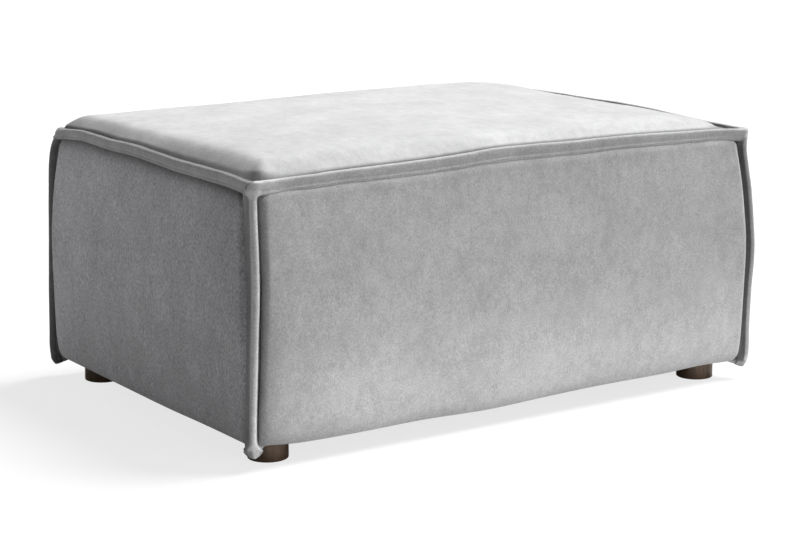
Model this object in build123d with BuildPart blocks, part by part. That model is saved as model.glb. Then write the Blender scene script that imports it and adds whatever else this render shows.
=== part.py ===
from build123d import *
from math import cos, radians, sin, sqrt, tan
import os

# An upholstered box ottoman on four short round feet, in millimetres, +Z up.
# Padded flanges stand out of every seam: four along the top and four down the
# corners. The origin is on the floor under the middle, X runs along the long
# sides and the front is at -Y.

# Timber frame
frame_length = 888
frame_depth = 606
frame_height = 305
post_length = 50
post_depth = 60
rail_thickness = 22
top_rail_height = 80
bottom_rail_height = 70
strut_width = 50
board_thickness = 3

# Feet and their fixings
foot_height = 35
foot_radius = 30.5
foot_edge_round = 1.5
stud_radius = 4
stud_length = 48
stud_in_foot = 22
stud_chamfer = 1
insert_radius = 6
insert_length = 22
insert_rim_radius = 9
insert_rim_thickness = 1.5

# Dowels and screws
dowel_radius = 4
dowel_length = 40
dowel_spacing = 36
strut_dowel_spacing = 26
screw_radius = 2.5
screw_length = 60
screw_head_radius = 5
screw_spacing = 34

# Seat springs, their clips and the tie wires
spring_count = 7
spring_to_post = 58
spring_wire_radius = 1.9
spring_width = 50
spring_bars = 25
spring_end_inset = 12
clip_width = 16
clip_thickness = 1.2
clip_tail = 5
nail_radius = 1.1
nail_length = 18
nail_head_radius = 2
nail_head_thickness = 0.8
tie_radius = 1
tie_bend_radius = 4
tie_end_depth = 12
tie_spacing = 190
felt_thickness = 3

# Seat cushion: a rounded shoulder, then a gentle dome
shoulder_lift = 4
shoulder_run = 35
shoulder_rise = 42
dome_rise = 11
crown_corner_round = 16
corner_growth_share = 0.25
crown_angles = (0, 14, 28, 42, 56, 70, 84)
dome_shares = (0.1, 0.25, 0.45, 0.7)
cover_tuck = 3
wadding_thickness = 10
fabric_thickness = 2

# Side panels: a padded face that bows out and rolls in to every seam
seam_out = 8
side_bow = 18
bottom_draw = 3
pad_crown = 9
edge_crown = 1
middle_swell = 2
side_roll = 18
top_roll = 20
bottom_roll = 30
panel_lift = 60
top_rise = 10
turn_under = 25
roll_shares = (0, 0.05, 0.16, 0.33, 0.6, 1)
face_shares = (-0.45, -0.15, 0.15, 0.45)

# Flanges
flange_strip_width = 20
flange_bow = 12
top_strip_width = 22
strip_thickness = 8
strip_edge_round = 3.4
strip_lean = 30
top_strip_seat = 7
strip_tip_height = 21
strip_tip_width = 6
strip_tuck = 10
strip_corner_round = 7
station_shares = (-1, -0.75, -0.5, -0.25, 0, 0.25, 0.5, 0.75, 1)

# Dust cover
dust_cover_thickness = 1
dust_cover_inset = 12

# Fits
snug = 0.1
cloth_gap = 0.3
foot_hole_gap = 0.5
overrun = 5

# Worked out from the sizes above
frame_top = foot_height + frame_height
board_length = frame_length + 2 * board_thickness
board_depth = frame_depth + 2 * board_thickness
panel_top = frame_top + panel_lift
shoulder_base = panel_top + shoulder_lift
cover_edge = panel_top - cover_tuck
spring_axis = frame_top + clip_thickness + cloth_gap + spring_wire_radius
tie_axis = spring_axis + spring_wire_radius + cloth_gap + tie_radius
felt_underside = tie_axis + tie_radius + cloth_gap
deck_top = felt_underside + felt_thickness
panel_bottom = foot_height - fabric_thickness
panel_middle = (foot_height + panel_top) / 2
foot_x = (frame_length - post_length) / 2
foot_y = (frame_depth - post_depth) / 2

side_turns = {"front": 0, "right": 90, "back": 180, "left": 270}
corner_signs = {"front_left": (-1, -1), "front_right": (1, -1), "back_right": (1, 1), "back_left": (-1, 1)}

os.makedirs("parts", exist_ok=True)


def save(piece, name):
    """Label a finished piece and write it under its own name."""
    piece.part.label = name
    export_step(piece.part, f"parts/{name}.step")


def side_size(side):
    """Half the boards' outside length along a side, and how far out that side's face lies."""
    if side in ("front", "back"):
        return board_length / 2, board_depth / 2
    return board_depth / 2, board_length / 2


def side_plane(side, height, out=0):
    """Level plane a distance out from the middle, X along the side and -Y pointing out of it."""
    level = Plane.XY.offset(height).rotated((0, 0, side_turns[side]))
    return Plane(origin=level.origin - level.y_dir * out, x_dir=level.x_dir, z_dir=level.z_dir)


def mirrored(x, y):
    """The four places that mirror one place over both middle planes."""
    return [(sign_x * x, sign_y * y) for sign_x, sign_y in corner_signs.values()]


# Dowel joints: two dowels at each rail end, and two at each end of a strut
def joint_places():
    """Where every dowel is centred, turned along its own axis."""
    places = []
    rails = ((foot_height, bottom_rail_height), (frame_top - top_rail_height, top_rail_height))
    for base, height in rails:
        for step in (-dowel_spacing / 2, dowel_spacing / 2):
            z = base + height / 2 + step
            for x, y in mirrored(frame_length / 2 - post_length, (frame_depth - rail_thickness) / 2):
                places.append(Location((x, y, z), (0, 90, 0)))
            for x, y in mirrored((frame_length - rail_thickness) / 2, frame_depth / 2 - post_depth):
                places.append(Location((x, y, z), (90, 0, 0)))
    for z in (foot_height + bottom_rail_height, frame_top - top_rail_height):
        for x, y in mirrored(strut_dowel_spacing / 2, (frame_depth - rail_thickness) / 2):
            places.append(Location((x, y, z)))
    return places


dowel_places = joint_places()

with BuildPart() as rail_dowels:
    with Locations(*dowel_places):
        Cylinder(dowel_radius, dowel_length)
save(rail_dowels, "rail_dowels")

with BuildPart() as dowel_holes:
    with Locations(*dowel_places):
        Cylinder(dowel_radius + snug, dowel_length + 2 * snug)

# Corner posts, with a threaded insert let into the foot of each
for corner, (sign_x, sign_y) in corner_signs.items():
    with BuildPart() as post:
        with BuildSketch(Plane.XY.offset(foot_height)):
            with Locations((sign_x * foot_x, sign_y * foot_y)):
                Rectangle(post_length, post_depth)
        extrude(amount=frame_height)
        with Locations((sign_x * foot_x, sign_y * foot_y, foot_height)):
            Cylinder(insert_radius + snug, 2 * (insert_length + snug), mode=Mode.SUBTRACT)
            Cylinder(insert_rim_radius + snug, 2 * (insert_rim_thickness + snug), mode=Mode.SUBTRACT)
            Cylinder(stud_radius + snug, 2 * (stud_length - stud_in_foot + snug), mode=Mode.SUBTRACT)
        add(dowel_holes.part, mode=Mode.SUBTRACT)
    save(post, f"{corner}_post")

# Places shared by the springs, their clips and their nails
outer_spring_x = frame_length / 2 - post_length - spring_to_post
spring_spacing = 2 * outer_spring_x / (spring_count - 1)
spring_x = [number * spring_spacing - outer_spring_x for number in range(spring_count)]
spring_end = frame_depth / 2 - spring_end_inset
clip_inner = spring_wire_radius + cloth_gap
clip_outer = clip_inner + clip_thickness
nail_y = spring_end + clip_outer + clip_tail / 2
tie_end = (frame_length - rail_thickness) / 2
tie_y = (-tie_spacing / 2, tie_spacing / 2)

with BuildPart() as rail_holes:
    with Locations(*[(x, way * nail_y, frame_top) for x in spring_x for way in (-1, 1)]):
        Cylinder(nail_radius + snug, 2 * nail_length)
    with Locations(*[(way * tie_end, y, frame_top) for way in (-1, 1) for y in tie_y]):
        Cylinder(tie_radius + snug, 2 * (tie_end_depth + snug))


# Screws through the bottom rails into the stretcher, their heads flush under the boards
def stretcher_screws(fit):
    """The four screws, or with a fit the holes that they need."""
    head_height = screw_head_radius - screw_radius
    places = []
    for z in (-screw_spacing / 2, screw_spacing / 2):
        height = foot_height + bottom_rail_height / 2 + z
        places.append(Location((0, -frame_depth / 2, height), (90, 0, 0)))
        places.append(Location((0, frame_depth / 2, height), (-90, 0, 0)))
    with BuildPart() as screws:
        with Locations(*places):
            Cylinder(screw_radius + fit, screw_length + fit, align=(Align.CENTER, Align.CENTER, Align.MAX))
            Cone(screw_radius + fit, screw_head_radius + fit, head_height,
                 align=(Align.CENTER, Align.CENTER, Align.MAX))
    return screws


screws = stretcher_screws(0)
save(screws, "stretcher_screws")
screw_holes = stretcher_screws(snug)

# Rails between the posts, flush with their outer faces
for side in side_turns:
    half_length, half_out = side_size(side)
    along = post_length if side in ("front", "back") else post_depth
    run = 2 * (half_length - board_thickness - along)
    out = half_out - board_thickness - rail_thickness / 2
    for level, base, height in (
        ("bottom", foot_height, bottom_rail_height),
        ("top", frame_top - top_rail_height, top_rail_height),
    ):
        with BuildPart() as rail:
            with BuildSketch(side_plane(side, base, out)):
                Rectangle(run, rail_thickness)
            extrude(amount=height)
            add(dowel_holes.part, mode=Mode.SUBTRACT)
            if level == "top":
                add(rail_holes.part, mode=Mode.SUBTRACT)
            else:
                add(screw_holes.part, mode=Mode.SUBTRACT)
        save(rail, f"{side}_{level}_rail")

# Upright struts at the middle of the long sides
strut_height = frame_height - bottom_rail_height - top_rail_height
for side in ("front", "back"):
    with BuildPart() as strut:
        with BuildSketch(side_plane(side, foot_height + bottom_rail_height, (frame_depth - rail_thickness) / 2)):
            Rectangle(strut_width, rail_thickness)
        extrude(amount=strut_height)
        add(dowel_holes.part, mode=Mode.SUBTRACT)
    save(strut, f"{side}_strut")

# Stretcher across the middle, level with the bottom rails
with BuildPart() as stretcher:
    with BuildSketch(Plane.XY.offset(foot_height)):
        Rectangle(rail_thickness, frame_depth - 2 * rail_thickness)
    extrude(amount=bottom_rail_height)
    add(screw_holes.part, mode=Mode.SUBTRACT)
save(stretcher, "cross_stretcher")

# Thin boards that close the four sides, the long ones lapping the ends of the short ones
for side in side_turns:
    half_length, half_out = side_size(side)
    lap = 0 if side in ("front", "back") else board_thickness
    with BuildPart() as board:
        with BuildSketch(side_plane(side, foot_height, half_out - board_thickness / 2)):
            Rectangle(2 * (half_length - lap), board_thickness)
        extrude(amount=frame_height)
    save(board, f"{side}_board")

# Feet, each on a stud that screws up into the post's insert
foot_places = mirrored(foot_x, foot_y)
with BuildPart() as foot_studs:
    with Locations(*[(x, y, foot_height - stud_in_foot) for x, y in foot_places]):
        Cylinder(stud_radius, stud_length, align=(Align.CENTER, Align.CENTER, Align.MIN))
    chamfer(foot_studs.edges(), stud_chamfer)
save(foot_studs, "foot_studs")

with BuildPart() as foot_inserts:
    with Locations(*[(x, y, foot_height) for x, y in foot_places]):
        Cylinder(insert_radius, insert_length, align=(Align.CENTER, Align.CENTER, Align.MIN))
        Cylinder(insert_rim_radius, insert_rim_thickness, align=(Align.CENTER, Align.CENTER, Align.MIN))
        Cylinder(stud_radius + snug, 2 * insert_length + overrun, mode=Mode.SUBTRACT)
save(foot_inserts, "foot_inserts")

for corner, (sign_x, sign_y) in corner_signs.items():
    with BuildPart() as foot:
        with Locations((sign_x * foot_x, sign_y * foot_y)):
            Cylinder(foot_radius, foot_height, align=(Align.CENTER, Align.CENTER, Align.MIN))
        fillet(foot.edges().filter_by(GeomType.CIRCLE), foot_edge_round)
        with Locations((sign_x * foot_x, sign_y * foot_y, foot_height)):
            Cylinder(stud_radius + snug, 2 * (stud_in_foot + snug), mode=Mode.SUBTRACT)
    save(foot, f"{corner}_foot")

# Zigzag wire springs stretched from the front top rail to the back one
spring_pitch = 2 * spring_end / (spring_bars - 1)
bend_radius = spring_pitch / 2
bar_half = spring_width / 2 - bend_radius
with BuildPart() as one_spring:
    with BuildLine() as zigzag:
        for bar in range(spring_bars):
            y = bar * spring_pitch - spring_end
            way = 1 if bar % 2 == 0 else -1
            Line((-way * bar_half, y, spring_axis), (way * bar_half, y, spring_axis))
            if bar < spring_bars - 1:
                ThreePointArc(
                    (way * bar_half, y, spring_axis),
                    (way * (bar_half + bend_radius), y + bend_radius, spring_axis),
                    (way * bar_half, y + spring_pitch, spring_axis),
                )
    with BuildSketch(Plane(origin=zigzag.line @ 0, z_dir=zigzag.line % 0)):
        Circle(spring_wire_radius)
    sweep()

with BuildPart() as seat_springs:
    with Locations(*[(x, 0) for x in spring_x]):
        add(one_spring.part)
save(seat_springs, "seat_springs")

# Folded steel clips that hook over the end bar of each spring
with BuildPart() as one_clip:
    with BuildSketch(Plane.YZ.offset(-clip_width / 2)):
        with Locations((spring_end, spring_axis)):
            Circle(clip_outer)
            with Locations((-clip_outer / 2, 0)):
                Rectangle(clip_outer, 2 * clip_outer)
        with Locations((spring_end + (clip_outer + clip_tail) / 2, spring_axis - clip_outer + clip_thickness / 2)):
            Rectangle(clip_outer + clip_tail, clip_thickness)
        with Locations((spring_end, spring_axis)):
            Circle(clip_inner, mode=Mode.SUBTRACT)
            with Locations((-clip_outer / 2, 0)):
                Rectangle(clip_outer, 2 * clip_inner, mode=Mode.SUBTRACT)
    extrude(amount=clip_width)
    with Locations((0, nail_y, frame_top)):
        Cylinder(nail_radius + snug, 2 * clip_thickness + overrun, mode=Mode.SUBTRACT)

with BuildPart() as one_nail:
    with Locations((0, nail_y, frame_top + clip_thickness)):
        Cylinder(nail_head_radius, nail_head_thickness, align=(Align.CENTER, Align.CENTER, Align.MIN))
        Cylinder(nail_radius, nail_length, align=(Align.CENTER, Align.CENTER, Align.MAX))

for name, one in (("spring_clips", one_clip), ("clip_nails", one_nail)):
    with BuildPart() as group:
        with Locations(*[Location((x, 0, 0), (0, 0, turn)) for x in spring_x for turn in (0, 180)]):
            add(one.part)
    save(group, name)

# Tie wires across the springs, their ends turned down into the side rails
with BuildPart() as tie_wires:
    for y in tie_y:
        with BuildLine() as tie_line:
            FilletPolyline(
                (-tie_end, y, frame_top - tie_end_depth),
                (-tie_end, y, tie_axis),
                (tie_end, y, tie_axis),
                (tie_end, y, frame_top - tie_end_depth),
                radius=tie_bend_radius,
            )
        with BuildSketch(Plane(origin=tie_line.line @ 0, z_dir=tie_line.line % 0)):
            Circle(tie_radius)
        sweep()
save(tie_wires, "tie_wires")

# Felt over the springs, its edges turned down onto the rails
with BuildPart() as deck_felt:
    with BuildSketch(Plane.XY.offset(frame_top)):
        Rectangle(frame_length, frame_depth)
    extrude(amount=deck_top - frame_top)
    with BuildSketch(Plane.XY.offset(frame_top)):
        Rectangle(frame_length - 2 * felt_thickness, frame_depth - 2 * felt_thickness)
    extrude(amount=felt_underside - frame_top, mode=Mode.SUBTRACT)
save(deck_felt, "deck_felt")


# Seat cushion: every layer has the same crown, drawn in by what lies over it
def crown_block(bottom, layer):
    """Solid under the crown, drawn in by the depth of the layers over it."""
    half_x = board_length / 2
    half_y = board_depth / 2
    sections = []
    for angle in crown_angles:
        inset = layer + (shoulder_run - layer) * (1 - cos(radians(angle)))
        sections.append((inset, shoulder_base + (shoulder_rise - layer) * sin(radians(angle))))
    for share in dome_shares:
        inset = shoulder_run + share * (half_y - shoulder_run)
        sections.append((inset, shoulder_base + shoulder_rise - layer + dome_rise * (1 - (1 - share) ** 2)))
    with BuildPart() as block:
        with BuildSketch(Plane.XY.offset(bottom)):
            RectangleRounded(2 * (half_x - layer), 2 * (half_y - layer), crown_corner_round)
        extrude(amount=shoulder_base - bottom)
        for inset, height in sections:
            with BuildSketch(Plane.XY.offset(height)):
                corner_round = crown_corner_round + corner_growth_share * (inset - layer)
                RectangleRounded(2 * (half_x - inset), 2 * (half_y - inset), corner_round)
        loft(ruled=True)
    return block


cover_inside = cloth_gap + fabric_thickness
wadding_outside = cover_inside + cloth_gap
wadding_inside = wadding_outside + wadding_thickness

with BuildPart() as top_cover:
    add(crown_block(cover_edge, cloth_gap).part)
    add(crown_block(cover_edge - overrun, cover_inside).part, mode=Mode.SUBTRACT)
save(top_cover, "top_cover")

with BuildPart() as top_wadding:
    add(crown_block(deck_top, wadding_outside).part)
    add(crown_block(deck_top - overrun, wadding_inside).part, mode=Mode.SUBTRACT)
save(top_wadding, "top_wadding")

with BuildPart() as seat_foam:
    add(crown_block(deck_top, wadding_inside + cloth_gap).part)
save(seat_foam, "seat_foam")


# Side panels: level outlines with padded ends, lofted from the hem to the top seam
slot_half = strip_thickness / 2 + cloth_gap
reach_out = seam_out + side_bow + pad_crown + overrun
panel_reach = panel_top + top_rise


def top_line(half_length, x):
    """Height of a side's top seam, which rises to the middle in a shallow curve."""
    return panel_top + top_rise * (1 - (x / half_length) ** 2)


def panel_levels(layer):
    """Heights of the outlines, each with how far the seam bows and how far the face swells there."""
    bottom = panel_bottom + layer
    rolls = [(bottom + share * bottom_roll, share) for share in roll_shares]
    rolls += [(panel_middle + share * (panel_top - panel_middle), 1) for share in face_shares]
    rolls += [(panel_top - share * top_roll, share) for share in reversed(roll_shares)]
    rolls += [(panel_reach + overrun, 0)]
    levels = []
    for height, share in rolls:
        reach = (height - panel_middle) / (panel_top - panel_middle)
        drop = bottom_draw if height < panel_middle else side_bow
        bow = max(0, side_bow - drop * reach ** 2)
        swell = edge_crown + (pad_crown - edge_crown) * sqrt(1 - (1 - share) ** 2)
        levels.append((height, bow, swell))
    return levels


def panel_block(side, layer, back):
    """Solid behind a side panel's outer face, drawn in by a layer and cut off flat at its back."""
    half_length, half_out = side_size(side)
    end = sqrt(2) * (slot_half + layer)
    with BuildPart() as block:
        for height, bow, swell in panel_levels(layer):
            seam = seam_out + bow - layer
            face = seam + swell
            seam_x = half_length + seam - end
            shoulder_x = seam_x - side_roll
            with BuildSketch(side_plane(side, height, half_out)):
                with BuildLine():
                    front = ThreePointArc((-shoulder_x, -face), (0, -face - middle_swell), (shoulder_x, -face))
                    TangentArc((shoulder_x, -face), (seam_x, -seam), tangent=front % 1)
                    Line((seam_x, -seam), (half_length - end - back, back))
                    Line((half_length - end - back, back), (end + back - half_length, back))
                    Line((end + back - half_length, back), (-seam_x, -seam))
                    TangentArc((-shoulder_x, -face), (-seam_x, -seam), tangent=(front % 0) * -1)
                make_face()
        loft(ruled=True)
    return block


def face_plane(side, out):
    """Upright plane that faces out of a side, its X along the side and its Y up."""
    level = side_plane(side, 0, out)
    return Plane(origin=level.origin, x_dir=level.x_dir, z_dir=level.y_dir * -1)


def mitre_block(side, base, gap):
    """Upright block between the two corner diagonals of a side, clear of each by a gap."""
    half_length, half_out = side_size(side)
    inner = half_length - reach_out - sqrt(2) * gap
    outer = half_length + reach_out - sqrt(2) * gap
    with BuildPart() as block:
        with BuildSketch(side_plane(side, base, half_out)):
            Polygon((-inner, reach_out), (inner, reach_out), (outer, -reach_out), (-outer, -reach_out), align=None)
        extrude(amount=frame_height)
    return block


lean_in = sin(radians(strip_lean))
flange_root = cloth_gap + strip_thickness / 2 * lean_in

for side in side_turns:
    half_length, half_out = side_size(side)
    end = half_length + reach_out
    with BuildPart() as under_top_seam:
        with BuildSketch(face_plane(side, half_out - reach_out)):
            with BuildLine():
                Polyline((-end, top_line(half_length, end)), (-end, 0), (end, 0), (end, top_line(half_length, end)))
                ThreePointArc(
                    (end, top_line(half_length, end)),
                    (0, top_line(half_length, 0)),
                    (-end, top_line(half_length, end)),
                )
            make_face()
        extrude(amount=2 * reach_out)

    with BuildPart() as pad:
        add(panel_block(side, fabric_thickness + cloth_gap, 0).part)
        add(under_top_seam.part, mode=Mode.INTERSECT)
    save(pad, f"{side}_pad")

    with BuildPart() as cover:
        add(panel_block(side, 0, 0).part)
        add(panel_block(side, fabric_thickness, overrun).part, mode=Mode.SUBTRACT)
        add(under_top_seam.part, mode=Mode.INTERSECT)
        hem_end = half_length - sqrt(2) * slot_half
        with BuildSketch(side_plane(side, panel_bottom, half_out)):
            Polygon(
                (turn_under - hem_end, turn_under),
                (hem_end - turn_under, turn_under),
                (hem_end + seam_out / 2, -seam_out / 2),
                (-hem_end - seam_out / 2, -seam_out / 2),
                align=None,
            )
        extrude(amount=fabric_thickness)
        with Locations(*foot_places):
            Cylinder(foot_radius + foot_hole_gap, 2 * foot_height, mode=Mode.SUBTRACT)
    save(cover, f"{side}_cover")

    # Padded flange along the top seam, leaning out, mitred to its neighbours
    with BuildPart() as flange:
        for share in station_shares:
            x = share * end
            level = side_plane(side, top_line(half_length, x) + flange_root, half_out + top_strip_seat)
            station = Plane(origin=level.origin + level.x_dir * x, x_dir=level.y_dir, z_dir=level.x_dir)
            with BuildSketch(station) as section:
                Rectangle(
                    strip_thickness, top_strip_width, rotation=strip_lean, align=(Align.CENTER, Align.MIN)
                )
                fillet(section.vertices().sort_by(Axis.Y)[-2:], strip_edge_round)
        loft(ruled=True)
        add(mitre_block(side, panel_middle, cloth_gap / 2).part, mode=Mode.INTERSECT)
    save(flange, f"{side}_top_flange")

# Padded flanges down the corners, standing out on the diagonal, tucked in under the hem
seam_reach = sqrt(2) * seam_out
strip_reach = seam_reach + flange_strip_width
bow_reach = strip_reach + sqrt(2) * flange_bow
low_reach = bow_reach - sqrt(2) * bottom_draw
under_seat = sqrt(2) * (top_strip_seat + strip_thickness / 2 * cos(radians(strip_lean)))
under_tip = sqrt(2) * (top_strip_seat + top_strip_width * lean_in)
tip_out = top_strip_seat + (top_strip_width + strip_thickness / 2) * lean_in + strip_thickness / 2
corner_level = top_line(board_depth / 2, board_depth / 2 + tip_out) - cloth_gap
corner_tip = corner_level + (under_tip - under_seat) / (sqrt(2) * tan(radians(strip_lean)))

for corner, (sign_x, sign_y) in corner_signs.items():
    diagonal = Plane(
        origin=(sign_x * board_length / 2, sign_y * board_depth / 2, 0),
        x_dir=(sign_x, sign_y, 0),
        z_dir=(sign_y, -sign_x, 0),
    )
    with BuildPart() as flange:
        with BuildSketch(diagonal) as outline:
            with BuildLine():
                Polyline(
                    (low_reach, strip_tip_height + strip_tip_width),
                    (low_reach - strip_tip_width, strip_tip_height),
                    (strip_tuck, panel_bottom),
                    (cloth_gap, panel_bottom),
                    (cloth_gap, corner_level),
                    (under_seat, corner_level),
                    (under_tip, corner_tip),
                    (strip_reach, corner_tip - strip_corner_round),
                )
                ThreePointArc(
                    (strip_reach, corner_tip - strip_corner_round),
                    (bow_reach, panel_middle),
                    (low_reach, strip_tip_height + strip_tip_width),
                )
            make_face()
        extrude(amount=strip_thickness / 2, both=True)
        outer_edges = flange.edges().filter_by(GeomType.CIRCLE)
        fillet(outer_edges, strip_edge_round)
    save(flange, f"{corner}_flange")

# Dust cover under the frame, stretched over the turned-under hems
with BuildPart() as dust_cover:
    with BuildSketch(Plane.XY.offset(panel_bottom)):
        Rectangle(board_length - 2 * dust_cover_inset, board_depth - 2 * dust_cover_inset)
        with Locations(*foot_places):
            Circle(foot_radius + foot_hole_gap, mode=Mode.SUBTRACT)
    extrude(amount=-dust_cover_thickness)
save(dust_cover, "dust_cover")
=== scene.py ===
from functools import partial
from math import cos, exp, hypot, pi, radians, sin, sqrt

import bmesh
import bpy
from mathutils import Matrix, Vector, noise


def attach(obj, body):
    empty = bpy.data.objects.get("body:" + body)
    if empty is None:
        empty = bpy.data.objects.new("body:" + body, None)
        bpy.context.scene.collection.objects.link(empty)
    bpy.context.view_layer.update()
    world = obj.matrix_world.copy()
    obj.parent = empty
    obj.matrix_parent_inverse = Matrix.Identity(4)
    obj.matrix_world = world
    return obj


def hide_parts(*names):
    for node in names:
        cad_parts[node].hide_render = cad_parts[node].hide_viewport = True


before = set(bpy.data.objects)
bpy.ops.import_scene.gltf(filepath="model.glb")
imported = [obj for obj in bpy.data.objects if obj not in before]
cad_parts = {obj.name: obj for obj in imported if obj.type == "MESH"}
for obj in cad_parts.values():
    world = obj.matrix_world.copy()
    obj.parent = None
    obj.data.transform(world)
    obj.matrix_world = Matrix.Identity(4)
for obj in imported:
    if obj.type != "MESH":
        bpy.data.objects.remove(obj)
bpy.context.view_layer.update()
MM = 0.001


# Camera: a long lens a little above the cushion, turned to show the front and the left end.
# It stands 3.3 metres from the middle, level from side to side.
photo_camera = bpy.data.cameras.new("photo_camera")
photo_camera.lens = 89.38
photo_camera.sensor_width = 36
photo_camera.clip_end = 60
camera = bpy.data.objects.new("camera", photo_camera)
camera.location = (-1.83218, -2.69306, 0.8551)
camera.rotation_euler = (radians(78.38), 0, radians(-34.24))
bpy.context.scene.collection.objects.link(camera)
bpy.context.scene.camera = camera
bpy.context.scene.view_settings.view_transform = "Standard"


# Velvet: a short dense pile on a woven back, brushed downwards. It looks matt and soft, a little
# lighter where it turns away from the eye, with a fine grain and faint upright streaks and clouds.

# Sizes in millimetres of its clumped tufts, of the streaks that they lie in and of the lighter
# clouds. The single tufts are too fine to show, so the clumps are drawn coarser in their place.
TUFTS, STREAKS, CLOUDS = 1.9, 14, 95
# A pattern that no way draws out, and the heights that its noise seldom leaves
EVEN = (1, 1, 1)
NOISE_LOW, NOISE_HIGH = 0.32, 0.68


def linear(code):
    """sRGB hex colour as linear RGBA."""
    shares = [int(code[i:i + 2], 16) / 255 for i in (0, 2, 4)]
    return [c / 12.92 if c <= 0.04045 else ((c + 0.055) / 1.055) ** 2.4 for c in shares] + [1]


def add(material, kind, links=None, **settings):
    """Adds a node to a material, with its settings, input values and links."""
    node = material.node_tree.nodes.new(kind)
    for name, value in settings.items():
        setattr(node, name, value)
    for socket, value in (links or {}).items():
        if isinstance(value, bpy.types.NodeSocket):
            material.node_tree.links.new(value, node.inputs[socket])
        else:
            node.inputs[socket].default_value = value
    return node


def finish_of(name, surface, *details):
    """New material. The surface function makes its nodes and returns the shader's output."""
    material = bpy.data.materials.new(name)
    material.use_nodes = True
    material.node_tree.nodes.clear()
    add(material, "ShaderNodeOutputMaterial", {"Surface": surface(material, *details)})
    return material


def mottle(material, place, size, stretch, low, high, over=None, detail=3.0):
    """Noise of a real size in millimetres between two hex colours, and as plain heights. A colour that
    it lies over is multiplied with it."""
    stretched = add(material, "ShaderNodeMapping", {"Vector": place, "Scale": stretch}).outputs[0]
    heights = add(material, "ShaderNodeTexNoise", {
        "Vector": stretched, "Scale": 1 / (size * MM), "Detail": detail, "Roughness": 0.6,
    }).outputs["Fac"]
    ramp = add(material, "ShaderNodeValToRGB", {"Fac": heights})
    for element, position, code in zip(ramp.color_ramp.elements, (NOISE_LOW, NOISE_HIGH), (low, high)):
        element.position = position
        element.color = linear(code)
    colour = ramp.outputs["Color"]
    if over is not None:
        blend = add(material, "ShaderNodeMix", {0: 1.0, 6: over, 7: colour}, data_type="RGBA", blend_type="MULTIPLY")
        colour = blend.outputs[2]
    return colour, heights


def velvet_surface(material, pile_way, low, high):
    """Tufts drawn out along the pile, under the streaks, the clouds and the painted light and shade that each piece is
    given.
    """
    place = add(material, "ShaderNodeTexCoord").outputs["Object"]
    colour, tufts = mottle(material, place, TUFTS, pile_way, low, high)
    colour, _ = mottle(material, place, STREAKS, pile_way, "eeeeee", "ffffff", over=colour)
    colour, _ = mottle(material, place, CLOUDS, EVEN, "ededed", "ffffff", over=colour, detail=4.0)
    painted_shade = add(material, "ShaderNodeAttribute", attribute_name="painted_shade").outputs["Color"]
    with_painted_shade = add(material, "ShaderNodeMix", {0: 1.0, 6: colour, 7: painted_shade}, data_type="RGBA", blend_type="MULTIPLY")
    grain = add(material, "ShaderNodeBump", {"Height": tufts, "Strength": 0.35, "Distance": 0.4 * MM})
    return add(material, "ShaderNodeBsdfPrincipled", {
        "Base Color": with_painted_shade.outputs[2], "Roughness": 0.92, "Specular IOR Level": 0.15, "Normal": grain.outputs[0],
        "Sheen Weight": 0.3, "Sheen Roughness": 0.5, "Sheen Tint": linear("ffffff"),
    }).outputs[0]


# One velvet, brushed another way on each piece. The eye looks across the left end's pile, where the grain shows
# more and cooler. The seat's copy is painted lighter and fainter, for the light that falls on the top.
velvet = finish_of("grey_velvet", velvet_surface, (1, 1, 0.65), "a0a0a1", "bfbfbf")
end_velvet = finish_of("grey_velvet_of_the_left_end", velvet_surface, (1, 0.8, 0.45), "909093", "cdcdd0")
seat_velvet = finish_of("grey_velvet_of_the_seat", velvet_surface, (1, 0.6, 1), "b2b2b3", "c1c1c1")
flange_velvet = finish_of("grey_velvet_of_the_flanges", velvet_surface, (1, 1, 0.8), "a0a0a1", "bebebe")


# Side panels: a padded face behind tightly drawn velvet that bows out between its seams and rolls in
# to each of them. The cover is cut and sewn to the flanges, drawn under the frame and stapled there.
HALF_LENGTH, HALF_DEPTH = 447, 306
# Each side's turn from the front, half its boards' length, and how far out they lie
SIDES = {
    "front": (0, HALF_LENGTH, HALF_DEPTH), "right": (90, HALF_DEPTH, HALF_LENGTH),
    "back": (180, HALF_LENGTH, HALF_DEPTH), "left": (270, HALF_DEPTH, HALF_LENGTH),
}
# A panel's height, before its edges are fitted to the hem and to the flange
LOW, HIGH = 33, 402
# Its rows and columns, and how much closer they lie in its rolled edges
PANEL_ROWS, LONG_COLUMNS, SHORT_COLUMNS = 60, 120, 92
PACKED_ALONG, PACKED_UP = 1.7, 1.6
BOTTOM_ROLL = 17
TOP_ROLLS = {"front": 12, "right": 12, "back": 12, "left": 17}
# The upright rolls, and how much wider they get over how long a way at the bottom and at the top
SIDE_ROLL, WIDER_LOW, WIDER_HIGH = 8.5, (5, 42), (6, 24)
# The higher, the squarer: the corners between the rolls, and how the rolls blend there
LOW_CORNER, HIGH_CORNER, ROLL_BLEND = 4.5, 2.6, 2.4
# A panel's way from a corner's diagonal, and how much closer the left one comes at its far lower end
SEAM_GAP, CLOSER_LOW = 5.5, (2.5, 60)
# Unevenness of the stuffing: height and size of its two waves
STUFFING = (0.9, 90), (0.4, 35)
# The cover runs on under the flange, and its turned-in rim ends just outside the boards
UNDER_FLANGE, OFF_BOARDS, RIM_IN, RIM_FROM = 2.5, 0.3, 7, 8
# The CAD hem is kept below and inside these, and a point this close to a cut lies on it
HEM_TOP, HEM_OUT, ON_CUT = 34.9, 12, 0.001

# Painted shade below each top flange: how much darker, and from where and how far down it reaches
UNDER_FLANGE_SHADE = {"front": 0.13, "right": 0.25, "back": 0.2, "left": 0.88}
UNDER_FLANGE_SHADE_FROM, UNDER_FLANGE_SHADE_REACH = 2, 15
# Painted light: how light each panel is as a whole, and how much lighter the left one is at the bottom
FRONT_LEVEL, RIGHT_LEVEL, LEFT_LEVEL, LEFT_LIFT = 0.965, 0.84, 1.02, 0.13
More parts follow.
